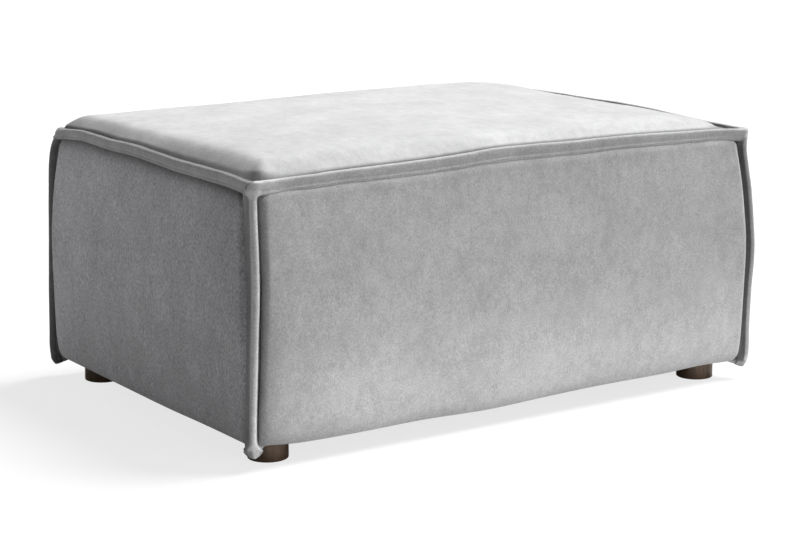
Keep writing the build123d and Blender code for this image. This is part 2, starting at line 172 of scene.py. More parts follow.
# Painted shade: how much darker they are towards the near corner, how much less painted shade the front
# has below its flange there, and over how long a way
LEFT_NEAR_SHADE, LEFT_NEAR_FROM = (0.22, 110), 20
FRONT_NEAR_SHADE, FRONT_NEAR_LESS_SHADE = (0.07, 120), (0.9, 130)
# Painted shade in the front's groove at the near corner, and beside every upright seam
GROOVE_SHADE, GROOVE_FROM, GROOVE_TOP, GROOVE_RUN = (0.26, 24), 8, 310, 180
SEAM_FROM, SEAM_SHADE, SEAM_REACH = 24, 0.12, 6
# The darkest and the lightest that the painted light and shade may make the pile
PAINTED_SHADE_LIMITS = 0.24, 1.4


def stations(*table):
    """Function that reads a measure at a place from a given table, as a smooth curve through its rows."""
    slopes = []
    for i in range(len(table)):
        low, high = table[max(0, i - 1)], table[min(len(table) - 1, i + 1)]
        slopes.append((high[1] - low[1]) / (high[0] - low[0]))

    def read(place):
        if place <= table[0][0]:
            return table[0][1]
        for i, (low, high) in enumerate(zip(table, table[1:])):
            if place <= high[0]:
                run = high[0] - low[0]
                t = (place - low[0]) / run
                return (
                    low[1] * (1 + 2 * t) * (1 - t) ** 2 + high[1] * t * t * (3 - 2 * t)
                    + run * t * (1 - t) * (slopes[i] * (1 - t) - slopes[i + 1] * t)
                )
        return table[-1][1]
    return read


# By height: how far out the seam lies, how far out the face stands, and at the near corner how far
# the two panels end from the diagonal
SEAM_OUT = stations(
    (33, 20.5), (45, 22.5), (70, 24.3), (110, 25), (180, 26), (230, 26), (280, 22.5), (330, 18), (371, 13), (402, 10),
)
FACE_OUT = stations((33, 29), (60, 32.5), (110, 34.5), (230, 37), (280, 35.5), (330, 31.5), (371, 26.5), (402, 23))
NEAR_GAPS = {
    "front": stations((33, 2), (80, 3.2), (130, 6.2), (262, 9), (330, 6), (380, 2.2), (402, 1.5)),
    "left": stations((33, 14), (80, 13), (145, 11), (262, 9.5), (330, 11), (380, 13), (402, 13)),
}
# Along each side, left to right from outside: the flange's edge, the flange's width and the bottom edge
EDGES = {
    "front": stations(
        (-465, 419.5), (-393, 420.5), (-317, 423), (-221, 425), (-133, 427.5), (-40, 433), (17, 433), (108, 432),
        (216, 432), (341, 429), (408, 427.5), (465, 424.5),
    ),
    "right": stations(
        (-325, 424.5), (-299, 425), (-230, 427), (-183, 429.2), (-91, 434), (-20, 436), (79, 436.2), (193, 436.7),
        (294, 434.5), (325, 431),
    ),
    "back": stations((-465, 431), (-380, 432.5), (-200, 434), (0, 433), (200, 431), (380, 427), (465, 424)),
    "left": stations(
        (-325, 424), (-294, 425.6), (-219, 430.5), (-126, 428.5), (-36, 429.4), (21, 427), (104, 424), (183, 423.5),
        (249, 422), (317, 419), (325, 419.5),
    ),
}
BANDS = {
    "front": stations((-447, 18.5), (0, 21.5), (447, 17.5)),
    "right": stations((-306, 18), (306, 18)),
    "back": stations((-447, 18), (447, 16)),
    "left": stations((-306, 15), (0, 17), (306, 18)),
}
HEMS = {
    "front": stations(
        (-447, 36), (-400, 31.4), (-300, 30), (-180, 30.7), (-60, 27.5), (40, 30), (150, 32.3), (300, 32), (380, 34),
        (447, 32),
    ),
    "right": stations((-306, 32.5), (-100, 31), (80, 33), (306, 33)),
    "back": stations((-447, 33), (-200, 31), (0, 32), (200, 30.5), (447, 33)),
    "left": stations((-306, 34), (-120, 33), (60, 32), (180, 33.5), (306, 33.5)),
}


def piece(name, mesh_of, material):
    """A new object from a finished bmesh, smooth, in metres, riding on the one body."""
    mesh = bpy.data.meshes.new(name)
    bmesh.ops.recalc_face_normals(mesh_of, faces=mesh_of.faces)
    bmesh.ops.scale(mesh_of, vec=(MM, MM, MM), verts=mesh_of.verts)
    for face in mesh_of.faces:
        face.smooth = True
    mesh_of.to_mesh(mesh)
    mesh_of.free()
    made = bpy.data.objects.new(name, mesh)
    bpy.context.scene.collection.objects.link(made)
    mesh.materials.append(material)
    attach(made, "root")
    return made


def paint_shade(mesh, shade_of):
    """Paints light and shade into the pile's colour at each point, from its place and facing."""
    darkest, lightest = PAINTED_SHADE_LIMITS
    painted_shade = mesh.color_attributes.new("painted_shade", "FLOAT_COLOR", "POINT")
    for vert, point in zip(mesh.vertices, painted_shade.data):
        light = max(darkest, min(lightest, shade_of(vert.co / MM, vert.normal)))
        point.color = (light, light, light, 1)


def cad_copy(name):
    """The named CAD node's own mesh in a bmesh, in millimetres, its doubles merged."""
    copy = bmesh.new()
    copy.from_mesh(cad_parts[name].data)
    bmesh.ops.scale(copy, vec=(1 / MM, 1 / MM, 1 / MM), verts=copy.verts)
    bmesh.ops.remove_doubles(copy, verts=copy.verts, dist=0.01)
    return copy


def cut_through(bm, spot, way, clear=False):
    """Cuts the whole mesh along a plane, and clears what lies beyond it if asked."""
    everything = bm.verts[:] + bm.edges[:] + bm.faces[:]
    bmesh.ops.bisect_plane(bm, geom=everything, dist=ON_CUT, plane_co=spot, plane_no=way, clear_outer=clear)


def close_holes(bm):
    """Closes every open rim."""
    bmesh.ops.holes_fill(bm, edges=[edge for edge in bm.edges if edge.is_boundary])


def turned_in(bm):
    """Extrudes a grid's rim and gives the new points, which the caller then moves."""
    rim = [edge for edge in bm.edges if edge.is_boundary]
    extruded = bmesh.ops.extrude_edge_only(bm, edges=rim)["geom"]
    return [item for item in extruded if isinstance(item, bmesh.types.BMVert)]


def cloth_grid(bm, columns, rows, place):
    """A grid whose points are moved to where place puts them, with u and v from 0 to 1."""
    verts = bmesh.ops.create_grid(bm, x_segments=columns, y_segments=rows, size=0.5)["verts"]
    for vert in verts:
        vert.co = place(vert.co.x + 0.5, vert.co.y + 0.5)


def clamped(value):
    """The value held between 0 and 1."""
    return max(0, min(1, value))


def fading(way, amount, reach):
    """An amount that is whole at a place and fades with the way from it."""
    return amount * exp(-(way / reach) ** 2)


def edge_packed(share, power):
    """A share from 0 to 1 moved towards its nearer end, so that rows lie closer in the rolled edges."""
    way = 2 * share - 1
    return (1 + (1 if way > 0 else -1) * (1 - (1 - abs(way)) ** power)) / 2


def rounded(a, b, power):
    """Two shares of a corner's rolls, 1 at the edge, drawn in from a square corner to a rounder one."""
    if a <= 0 or b <= 0:
        return a, b
    drawn = max(a, b) / (a ** power + b ** power) ** (1 / power)
    return a * drawn, b * drawn


def ripple(x, y, z, size):
    """Soft unevenness of stuffed cloth, from about -1 to 1."""
    return noise.noise(Vector((x, y, z)) / size)


def panel_point(side, u, v):
    """A place on a side's panel, as it lies before it is turned to its side."""
    turn, half, out = SIDES[side]
    along = edge_packed(u, PACKED_ALONG) * 2 - 1
    z = LOW + edge_packed(v, PACKED_UP) * (HIGH - LOW)
    lower = z < (LOW + HIGH) / 2
    side_roll = SIDE_ROLL + fading(z - LOW, *WIDER_LOW) + fading(HIGH - z, *WIDER_HIGH)
    end_roll = BOTTOM_ROLL if lower else TOP_ROLLS[side]
    edge_x = max(0, (abs(along) * half - (half - side_roll)) / side_roll)
    edge_z = max(0, 1 - (z - LOW if lower else HIGH - z) / end_roll)
    a, b = rounded(edge_x, edge_z, LOW_CORNER if lower else HIGH_CORNER)
    x = half - side_roll * (1 - a) if edge_x > 0 else abs(along) * half
    if edge_z > 0:
        z = LOW + end_roll * (1 - b) if lower else HIGH - end_roll * (1 - b)
    reach = min(1, (edge_x ** ROLL_BLEND + edge_z ** ROLL_BLEND) ** (1 / ROLL_BLEND))
    if max(edge_x, edge_z) > 0.999:
        reach = 1

    seam = SEAM_OUT(z)
    if side == "front" and along < 0 or side == "left" and along > 0:
        gap = NEAR_GAPS[side](z)
    else:
        gap = SEAM_GAP - (fading(z - 60, *CLOSER_LOW) if side == "left" else 0)
    x *= (half + seam + 1 - sqrt(2) * gap) / half * (1 if along > 0 else -1)
    swell = 1 + (FACE_OUT(z) - seam - 1) * sqrt(1 - reach * reach)
    swell += sum(high * ripple(x, turn, z, size) for high, size in STUFFING) * (1 - reach)
    top = EDGES[side](x) - BANDS[side](x) + UNDER_FLANGE
    hem = HEMS[side](x)
    return Vector((x, -(out + seam + swell), hem + (z - LOW) / (HIGH - LOW) * (top - hem)))


def panel_shade(side, spot, facing):
    """Painted light and shade on a panel: darker below the top flange, most on the left end, darker
    towards the near corner and in the groove there, and beside every seam, with a painted level for each panel."""
    turn, half, _ = SIDES[side]
    spot.rotate(Matrix.Rotation(radians(-turn), 3, "Z"))
    below = max(0, EDGES[side](spot.x) - BANDS[side](spot.x) + UNDER_FLANGE_SHADE_FROM - spot.z)
    aside = max(0, half + SEAM_FROM - abs(spot.x))
    level, painted_seam_shade, near_end = 1.0, UNDER_FLANGE_SHADE[side], 0
    if side == "front":
        level = FRONT_LEVEL
        painted_seam_shade *= 1 - fading(half + spot.x, *FRONT_NEAR_LESS_SHADE)
        near_end = fading(half + spot.x, *FRONT_NEAR_SHADE)
        if spot.x < 0:
            near_end += clamped((GROOVE_TOP - spot.z) / GROOVE_RUN) * fading(aside - GROOVE_FROM, *GROOVE_SHADE)
    elif side == "left":
        level = LEFT_LEVEL + LEFT_LIFT * (HIGH - spot.z) / (HIGH - LOW)
        near_end = fading(half + LEFT_NEAR_FROM - spot.x, *LEFT_NEAR_SHADE)
    elif side == "right":
        level = RIGHT_LEVEL
    return level - painted_seam_shade * exp(-(below / UNDER_FLANGE_SHADE_REACH) ** 1.5) - near_end - SEAM_SHADE * exp(-aside / SEAM_REACH)


for side, (turn, half, out) in SIDES.items():
    bm = bmesh.new()
    cloth_grid(bm, LONG_COLUMNS if half == HALF_LENGTH else SHORT_COLUMNS, PANEL_ROWS, partial(panel_point, side))
    for vert in turned_in(bm):
        vert.co.y = -(out + OFF_BOARDS)
        vert.co.x *= (half - RIM_IN) / (half + RIM_FROM)
    close_holes(bm)
    to_side = Matrix.Rotation(radians(turn), 3, "Z")
    bmesh.ops.rotate(bm, matrix=to_side, verts=bm.verts)

    # The hem under the frame, with its notches round the feet, is the CAD cover's own
    hem = cad_copy(f"{side}_cover")
    outward = to_side @ Vector((0, -1, 0))
    for spot, way in ((Vector((0, 0, HEM_TOP)), Vector((0, 0, 1))), (outward * (out + HEM_OUT), outward)):
        cut_through(hem, spot, way, clear=True)
        close_holes(hem)
    loose = bpy.data.meshes.new("hem")
    hem.to_mesh(loose)
    hem.free()
    bm.from_mesh(loose)
    bpy.data.meshes.remove(loose)
    panel = piece(f"{side}_panel", bm, end_velvet if side == "left" else velvet)
    # Light and shade painted into the panel's colour
    paint_shade(panel.data, partial(panel_shade, side))
    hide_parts(f"{side}_cover", f"{side}_pad")


# Seat cushion: a foam block under wadding, drawn down into a shallow crown by its velvet cover,
# with a sloping shoulder all round and soft dimples where the filling has settled.
SEAT_COLUMNS, SEAT_ROWS = 150, 110
SEAT_PACKED_ALONG, SEAT_PACKED_ACROSS = 2.1, 2.0
SEAT_OUT, SHOULDER_RUN, CROWN = 7.5, 46, 10.5
SHOULDER = stations(
    (0, 409), (0.7, 417), (2, 423.5), (4, 427.8), (9, 432.4), (15, 437.2), (21, 441.2), (27, 443.8), (35, 445.4),
    (46, 446.3),
)
BACK_LEFT_CORNER, OTHER_CORNERS = 11, 4.5
# The shoulder follows the flange's edge from this height, and the filling starts this far in
EDGE_HEIGHT, EDGE_REACH, FILLED_FROM = 427, 18, 20
# Towards the right end the top falls away, more at the back
FALL_FROM, FALL, FALL_AT_BACK = 375, 11, 5
STEP_FROM, STEP_RUN, STEP, STEP_AT_BACK, STEP_INSET = 335, 85, 4.5, 2, 12
# Unevenness of its filling: height, where in the noise, and size of its two waves
SEAT_WAVES = (1.4, 0, 170), (0.5, 9, 55)
# Raised and sunk places: x, y, reach along and across, height, and how far in they are whole
SWELLS = (
    (270, 245, 300, 100, 7, 20),
    (455, 292, 42, 60, -10, 3),
    (-HALF_LENGTH, -HALF_DEPTH, 26, 26, 7, 3),
)
# The back left corner is pulled out and up
BACK_LEFT_REACH, BACK_LEFT_OUT, BACK_LEFT_UP, BACK_LEFT_INSET = 45, 6, 2, 4
# x, y, reach and depth
DIMPLES = ((-405, -262, 22, 2.2), (-425, 120, 26, 1.6), (-420, 20, 22, 1.2), (-300, -285, 30, 1.0))
# Its turned-down rim ends on the deck felt, inside the boards
SKIRT_END, SKIRT_INSIDE = 351.2, 1


def on_side(x, y):
    """The side that a place on the rim belongs to, and how far along that side it lies."""
    if abs(x) - HALF_LENGTH > abs(y) - HALF_DEPTH:
        return ("right", y) if x > 0 else ("left", -y)
    return ("back", -x) if y > 0 else ("front", x)


def seat_point(u, v):
    """A place on the seat's cover."""
    half_x, half_y = HALF_LENGTH + SEAT_OUT, HALF_DEPTH + SEAT_OUT
    x = (edge_packed(u, SEAT_PACKED_ALONG) * 2 - 1) * half_x
    y = (edge_packed(v, SEAT_PACKED_ACROSS) * 2 - 1) * half_y
    edge_x = max(0, 1 - (half_x - abs(x)) / SHOULDER_RUN)
    edge_y = max(0, 1 - (half_y - abs(y)) / SHOULDER_RUN)
    a, b = rounded(edge_x, edge_y, BACK_LEFT_CORNER if x < 0 < y else OTHER_CORNERS)
    if a > 0:
        x = (half_x - SHOULDER_RUN * (1 - a)) * (1 if x > 0 else -1)
    if b > 0:
        y = (half_y - SHOULDER_RUN * (1 - b)) * (1 if y > 0 else -1)
    inset = SHOULDER_RUN * (1 - max(edge_x, edge_y))
    filled = min(1, inset / FILLED_FROM)

    side, along = on_side(x, y)
    z = SHOULDER(inset) + (EDGES[side](along) - EDGE_HEIGHT) * exp(-inset / EDGE_REACH)
    z += CROWN * (1 - abs(x / half_x) ** 3) * (1 - abs(y / half_y) ** 2.5)
    fall = FALL + FALL_AT_BACK * max(0, y / half_y)
    z -= fall * max(0, (x - FALL_FROM) / (half_x - FALL_FROM)) ** 1.5 * filled
    step = STEP - STEP_AT_BACK * y / half_y
    z -= step * clamped((x - STEP_FROM) / STEP_RUN) * min(1, inset / STEP_INSET)
    for swell_x, swell_y, reach_x, reach_y, high, whole in SWELLS:
        z += fading(x - swell_x, high, reach_x) * fading(y - swell_y, 1, reach_y) * min(1, inset / whole)
    back_left = fading(hypot(x + half_x, y - half_y), 1, BACK_LEFT_REACH)
    z += BACK_LEFT_UP * back_left * min(1, inset / BACK_LEFT_INSET)
    z += sum(high * ripple(x, y, level, size) for high, level, size in SEAT_WAVES) * filled
    for dimple_x, dimple_y, wide, deep in DIMPLES:
        z -= fading(hypot(x - dimple_x, y - dimple_y), deep, wide)
    return Vector((x - BACK_LEFT_OUT * back_left, y + BACK_LEFT_OUT * back_left, z))


# Painted light: how light its pile is at the middle and how much lighter to the right, where the light falls,
# and a slightly darker patch: x, y, reach along and across, and how much darker
SEAT_LEVEL, SEAT_LIFT, DARK_PATCH = 1.05, 0.04, (-330, -250, 190, 130, 0.06)
# Painted shade on slopes to the left, how much more behind, and on slopes to the right
LEFT_SLOPE_SHADE, SLOPE_SHADE_BEHIND, RIGHT_SLOPE_SHADE = 0.5, 0.35, -0.35
# Painted shade in the seam: how much darker, from this far above the flange's edge down
SEAT_SEAM_SHADE = {"front": 0.55, "right": 0.55, "back": 0.55, "left": 0.12}
SEAM_ABOVE, SEAM_RUN = 2, 3.5
# The near corner's reach along and across, and how much less painted shade its seam and its slopes get there
NEAR_ALONG, NEAR_ACROSS, NEAR_LESS_SEAM_SHADE, NEAR_LESS_SLOPE_SHADE = 80, 150, 0.7, 0.5
# How far in the crest behind starts, its run, and how much less painted slope shade it gets there
CREST_FROM, CREST_RUN, CREST_LESS_SLOPE_SHADE = 22, 10, 0.6


def seat_shade(spot, facing):
    """Painted light and shade on the seat: lighter to the right, darker on slopes to the left and a little on
    slopes to the right, and darker in the seam. At the near corner it is less so, and behind, the left slope's shade
    ends in a crest."""
    side, along = on_side(spot.x, spot.y)
    near = fading(spot.x + HALF_LENGTH, 1, NEAR_ALONG) * fading(spot.y + HALF_DEPTH, 1, NEAR_ACROSS)
    painted_seam_shade = clamped((EDGES[side](along) + SEAM_ABOVE - spot.z) / SEAM_RUN) * (1 - NEAR_LESS_SEAM_SHADE * near)
    back = max(0, spot.y / HALF_DEPTH)
    crest = back * clamped((spot.x + HALF_LENGTH + SEAT_OUT - CREST_FROM) / CREST_RUN)
    if facing.x < 0:
        slope_shade = (LEFT_SLOPE_SHADE + SLOPE_SHADE_BEHIND * back) * (1 - NEAR_LESS_SLOPE_SHADE * near) * (1 - CREST_LESS_SLOPE_SHADE * crest)
    else:
        slope_shade = RIGHT_SLOPE_SHADE
    patch_x, patch_y, reach_x, reach_y, darker = DARK_PATCH
    level = SEAT_LEVEL + SEAT_LIFT * spot.x / HALF_LENGTH
    level -= fading(spot.x - patch_x, darker, reach_x) * fading(spot.y - patch_y, 1, reach_y)
    return (level + slope_shade * facing.x) * (1 - SEAT_SEAM_SHADE[side] * painted_seam_shade)


bm = bmesh.new()
cloth_grid(bm, SEAT_COLUMNS, SEAT_ROWS, seat_point)
for vert in turned_in(bm):
    vert.co.z = SKIRT_END
    vert.co.x *= (HALF_LENGTH - SKIRT_INSIDE) / (HALF_LENGTH + SEAT_OUT)
    vert.co.y *= (HALF_DEPTH - SKIRT_INSIDE) / (HALF_DEPTH + SEAT_OUT)
close_holes(bm)
cushion = piece("seat_cushion", bm, seat_velvet)
# Light and shade painted into the seat's colour
paint_shade(cushion.data, seat_shade)
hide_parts("top_cover", "top_wadding", "seat_foam")


# Flanges: padded flaps of the same velvet, sewn into every seam and stitched through beside it.
# Those along the top stand up round the cushion, and at the corners the upright ones join them.
CORNERS = ((1, -1), (1, 1), (-1, 1), (-1, -1))
ARC_STEPS, RIM_STEP = 10, 5
# How far out a point of the top flange lies, how far below its edge, and the corner's radius there
TOP_FLANGE = (
    (2, -29, 3), (3.5, -22, 4), (8, -15, 6), (11.5, -8, 9), (14, -3, 10), (15, -0.6, 11), (17, 0, 12), (20, -0.1, 12),
    (21.8, -0.8, 12), (22.5, -2.6, 11), (22.2, -6.5, 10), (21.4, -11, 9), (20.4, -14.4, 9), (18.8, -16, 9),
    (20, -17.4, 9), (20.6, -19.4, 8), (20.2, -21.4, 8), (18, -23, 8), (10, -25, 6), (2, -28, 3),
)
PROFILE_BAND = 20
# The flap's outer part lies over by so much to each way, and at each corner by its own amount, which
# at the back left one grows downwards
OUTER_FROM, OUTER_RUN = 12, 8
OVER_LEFT, OVER_RIGHT, OVER_BACK = 3, 1.5, 1.5
# Its waves out and up, by height and size
OVER_WAVE, OVER_WAVE_SIZE, EDGE_WAVE, EDGE_WAVE_SIZE = 1.3, 55, 0.7, 40
CORNER_OVER, BACK_LEFT_TILT, CORNER_RUN = (5, 2.5, -6.5, 2.5), 0.5, 26

# Each place round the rim: its corner, the angle round it, and its share of the run to the next corner
rim_places = []
for number in range(4):
    steps = round((HALF_DEPTH if number % 2 == 0 else HALF_LENGTH) / RIM_STEP)
    rim_places += [(number, 90 * i / ARC_STEPS, 0) for i in range(ARC_STEPS + 1)]
    rim_places += [(number, 90, i / steps) for i in range(1, steps)]


def rim_point(number, angle, share, out, radius):
    """Place and outward direction on a rounded rectangle this far out from the boards."""
    half_x, half_y = HALF_LENGTH + out - radius, HALF_DEPTH + out - radius
    ends = CORNERS[number], CORNERS[(number + 1) % 4]
    here, ahead = (Vector((way_x * half_x, way_y * half_y, 0)) for way_x, way_y in ends)
    direction = radians(angle + 90 * number - 90)
    normal = Vector((cos(direction), sin(direction), 0))
    return here.lerp(ahead, share) + normal * radius, normal


def top_flange_point(u, v):
    """A place on the skin of the flange round the top."""
    number, angle, share = rim_places[round(u * len(rim_places)) % len(rim_places)]
    out, drop, radius = TOP_FLANGE[round(v * len(TOP_FLANGE)) % len(TOP_FLANGE)]
    run = 2 * (HALF_DEPTH if number % 2 == 0 else HALF_LENGTH)
    from_corner = min(share, 1 - share) * run if angle == 90 and share > 0 else 0
    nearest = number if share < 0.5 else (number + 1) % 4
    spot, normal = rim_point(number, angle, share, out, radius)
    side, along = on_side(spot.x, spot.y)
    outer = clamped((out - OUTER_FROM) / OUTER_RUN)
    over = OVER_LEFT * max(0, -normal.x) + OVER_RIGHT * max(0, normal.x) + OVER_BACK * max(0, normal.y)
    tilt = BACK_LEFT_TILT * drop if nearest == 2 else 0
    over += fading(from_corner, CORNER_OVER[nearest] - tilt, CORNER_RUN)
    over += OVER_WAVE * ripple(spot.x, spot.y, 3, OVER_WAVE_SIZE)
    spot += normal * outer * over
    z = EDGES[side](along) + drop * BANDS[side](along) / PROFILE_BAND
    z += EDGE_WAVE * ripple(spot.x, spot.y, 8, EDGE_WAVE_SIZE) * outer
    return spot + Vector((0, 0, z))


bm = bmesh.new()
cloth_grid(bm, len(rim_places), len(TOP_FLANGE), top_flange_point)
bmesh.ops.remove_doubles(bm, verts=bm.verts, dist=0.01)

# Each upright flange's reach from the corner of the boards, by height
UPRIGHTS = {
    (-1, -1): stations((20, 40), (38, 46), (95, 47), (220, 48), (320, 43), (350, 39), (378, 35), (398, 33), (412, 32)),
    (1, -1): stations(
        (20, 38.5), (38, 46), (95, 46.5), (159, 48), (207, 50.5), (240, 50), (321, 42.5), (350, 38), (378, 33.5),
        (395, 31.8), (412, 33),
    ),
    (1, 1): stations(
        (20, 39), (38, 46.5), (95, 47), (180, 48), (300, 44), (350, 40), (378, 36), (398, 33.5), (412, 32),
    ),
    (-1, 1): stations((20, 43), (43, 51), (78, 51.5), (233, 47), (310, 44), (367, 41), (394, 36.5), (412, 27)),
}
UPRIGHT_ROWS, UPRIGHT_LOW, UPRIGHT_TOP, FLANGE_REACH = 100, 20, 413, 20
# Its lower end is cut at a slant, and its upper end flares into the top flange
SLANT_FROM, SLANT, FLARE_FROM, FLARE_RUN, FLARE = 4, 0.4, 392, 10, 1.4
# The near flange's edge and root sway to either side, by height, and its edge is cut slanted
NEAR_EDGE = stations(
    (20, -3), (45, -1), (80, 0), (140, 2.5), (200, 5), (258, 7), (320, 5.5), (370, 2), (400, 0.6),
)
NEAR_ROOT = stations((20, -8), (80, -8.5), (140, -7.5), (258, -5), (330, -6), (400, -8.2))
NEAR_SLANT, NEAR_SLANT_FROM, NEAR_SLANT_RUN = 0.5, 8, 6
# The others' edges sway in waves of this height and size
SWAY, SWAY_SIZE = 2, 80
# Across the flange on either side of its middle, and out from its root
HALF_THICK = 4.7
UPRIGHT_FLANGE = (
    (-15, -14), (-13, -5), (-8.4, 0.5), (-7.6, 2.6), (-5.4, 4.6), (-4.6, 8), (-HALF_THICK, 14), (-4.3, 16.6),
    (-3.2, 18.8), (-1.5, 19.8), (0, 20), (1.5, 19.8), (3.2, 18.8), (4.3, 16.6), (HALF_THICK, 14), (4.6, 8), (4.9, 4.6),
    (6.9, 2.6), (7.6, 0.5), (12, -5), (14, -14),
)
# How much thicker it is where its lower end is folded in, all but the part nearest its root, and the
# folded end itself under the frame
ROOT_PART = 3
FOLD = stations((20, 0.6), (22, 1.4), (27, 2.3), (33, 2.9), (37, 2), (42, 1.25), (50, 1))
TONGUE, TONGUE_IN, TONGUE_HEIGHT = (34, 13, 3.6, 1), 7, 33


def upright_point(way_x, way_y, u, v):
    """A place on the skin of the upright flange at a corner."""
    aside, out = UPRIGHT_FLANGE[round(v * len(UPRIGHT_FLANGE)) % len(UPRIGHT_FLANGE)]
    lowest = UPRIGHT_LOW + max(0, FLANGE_REACH - SLANT_FROM - out) * SLANT
    z = lowest + u * (UPRIGHT_TOP - lowest)
    if out > ROOT_PART:
        aside *= FOLD(z) * (1 + FLARE * clamped((z - FLARE_FROM) / FLARE_RUN) ** 2)
    share = clamped(out / FLANGE_REACH)
    if way_x < 0 and way_y < 0:
        out -= clamped((out - NEAR_SLANT_FROM) / NEAR_SLANT_RUN) * NEAR_SLANT * (aside + HALF_THICK)
        sway = NEAR_ROOT(z) + (NEAR_EDGE(z) - NEAR_ROOT(z)) * share
    else:
        sway = SWAY * ripple(way_x * HALF_LENGTH, way_y * HALF_DEPTH, z, SWAY_SIZE) * share
    reach = max(UPRIGHTS[way_x, way_y](z) - FLANGE_REACH + out, 1)
    corner = Vector((way_x * HALF_LENGTH, way_y * HALF_DEPTH, z))
    diagonal, across = Vector((way_x, way_y, 0)).normalized(), Vector((-way_x, way_y, 0)).normalized()
    return corner + diagonal * reach + across * (aside + sway) * (way_x * way_y)


for way_x, way_y in UPRIGHTS:
    start = set(bm.verts)
    cloth_grid(bm, UPRIGHT_ROWS, len(UPRIGHT_FLANGE), partial(upright_point, way_x, way_y))
    bmesh.ops.remove_doubles(bm, verts=[vert for vert in bm.verts if vert not in start], dist=0.01)
    corner = Vector((way_x * HALF_LENGTH, way_y * HALF_DEPTH, TONGUE_HEIGHT))
    inwards = Matrix.Translation(corner - Vector((way_x, way_y, 0)).normalized() * TONGUE_IN)
    turned = Matrix.Rotation(radians(45 * way_x * way_y), 4, "Z")
    bmesh.ops.create_cube(bm, size=1, matrix=inwards @ turned @ Matrix.Diagonal(TONGUE))
close_holes(bm)
flanges = piece("seam_flanges", bm, flange_velvet)

# The flaps become one skin with soft joints
whole = flanges.modifiers.new("one_skin", "REMESH")
whole.mode = "VOXEL"
whole.voxel_size = 1.7 * MM
relax = flanges.modifiers.new("relax", "SMOOTH")
relax.iterations = 3
relax.factor = 0.5
bpy.context.view_layer.update()
skin = bpy.data.meshes.new_from_object(flanges.evaluated_get(bpy.context.evaluated_depsgraph_get()))
flanges.modifiers.clear()
flanges.data = skin
for polygon in skin.polygons:
    polygon.use_smooth = True


# How light the flanges' pile is, and the painted shade on the left faces of the two upright ones that
# stand sideways to the eye: the front right one, and the back left one with more beside its root
FLANGE_LEVEL, FRONT_RIGHT_DARKER, BACK_LEFT_DARKER = 0.93, 0.68, 0.5
ROOT_AT, ROOT_DARKER = 5, (0.25, 5)
# The front right one's painted shade ends from here outwards, and from here down in its folded end
UNSHADED_FROM, UNSHADED_RUN, END_FROM, END_RUN = 13, 2, 34, 4
# Painted light and shade on the two that point at the eye and away: their faces, right faces, and outer edges
FACE_LEVEL, RIGHT_FACE, OUTER_EDGE, EDGE_FROM, EDGE_RUN = 0.75, 0.2, 0.7, 9, 4
# How far a face has to turn to the left, or out along the diagonal, before it shows as such
LEFT_TURN, LEFT_TURN_RUN, OUT_TURN, OUT_TURN_RUN = 0.35, 0.3, 0.25, 0.3
# On the near one its right face has painted light at the top, and its folded end painted shade: how much,
# how far from its middle, and over what run, on its left and on its right
TOP_LIGHTER, TUCKED_FROM, TUCKED_RUN = (0.25, 45), 38, 6
TUCKED_LEFT, TUCKED_RIGHT = (0.65, 1.5, 3), (0.3, 3.5, 2)
# Where the top flange's painted shade passes into the upright ones': below a height and outside the boards
JOINED_AT, JOINED_RUN, JOINED_INSIDE, JOINED_BAND = 409, 6, 8, 4
# The painted light line and painted dark line of the stitching: how far below the seam, and how strong and wide
LIGHT_LINE_AT, LIGHT_LINE, DARK_LINE_AT, DARK_LINE = 4.4, (0.38, 1.1), 1.9, (0.24, 0.9)
LINES_FROM_CORNER, LINES_ON_LEFT = 40, 0.3
# Painted shade on the right flange's inner face, and on the left one's outer face with its painted light lip
INNER_DARKER, OUTER_DARKER, OUTER_DARKER_ABOVE, LIP_AT, LIP = 0.6, 0.19, 0.5, 0.55, (0.55, 0.25)
# From where round the near corner, and over what run, an upright face belongs to the left one. What
# faces up more than this goes by its side instead
LEFT_BELOW, LEFT_BELOW_RUN, FACES_UP = 0.6, 0.12, 0.7
# Painted light: how much lighter the front and left ones are, and still lighter at the near corner, beside its painted
# dark line
FRONT_LIGHTER, NEAR_LIGHTER, NEAR_WITHIN, NEAR_LINE_AT, NEAR_LINE = 0.06, 0.3, 34, 0.4, (0.3, 0.15)


def upright_shade(way_x, way_y, spot, facing, from_corner, diagonal):
    """Painted light and shade on an upright flange: dark on the left faces of the two that stand sideways to
    the eye, lighter over the outer edge, and dark in the folded end."""
    out = from_corner.dot(diagonal) - UPRIGHTS[way_x, way_y](spot.z) + FLANGE_REACH
    if way_x * way_y < 0:
        left_face = clamped((-(facing.x + facing.y) / sqrt(2) - LEFT_TURN) / LEFT_TURN_RUN)
        if way_x < 0:
            return FLANGE_LEVEL - (BACK_LEFT_DARKER + fading(out - ROOT_AT, *ROOT_DARKER)) * left_face
        unshaded = max(clamped((out - UNSHADED_FROM) / UNSHADED_RUN), clamped((END_FROM - spot.z) / END_RUN))
        return FLANGE_LEVEL - FRONT_RIGHT_DARKER * left_face * (1 - unshaded)
    edge = clamped((facing.dot(diagonal) - OUT_TURN) / OUT_TURN_RUN) * clamped((out - EDGE_FROM) / EDGE_RUN)
    right_face = (facing.x - facing.y) / sqrt(2) * (1 if way_y < 0 else -1)
    shade = FACE_LEVEL + RIGHT_FACE * right_face + OUTER_EDGE * edge
    if way_x < 0:
        shade += fading(JOINED_AT - spot.z, *TOP_LIGHTER) * max(0, right_face)
        aside, tucked = from_corner.dot(Vector((1, -1, 0)).normalized()), clamped((TUCKED_FROM - spot.z) / TUCKED_RUN)
        # Painted shade in the folded end, on its left and on its right
        pressed = [
            darker * clamped((way - start) / run)
            for way, (darker, start, run) in ((-aside, TUCKED_LEFT), (aside, TUCKED_RIGHT))
        ]
        shade *= 1 - tucked * sum(pressed)
    return shade


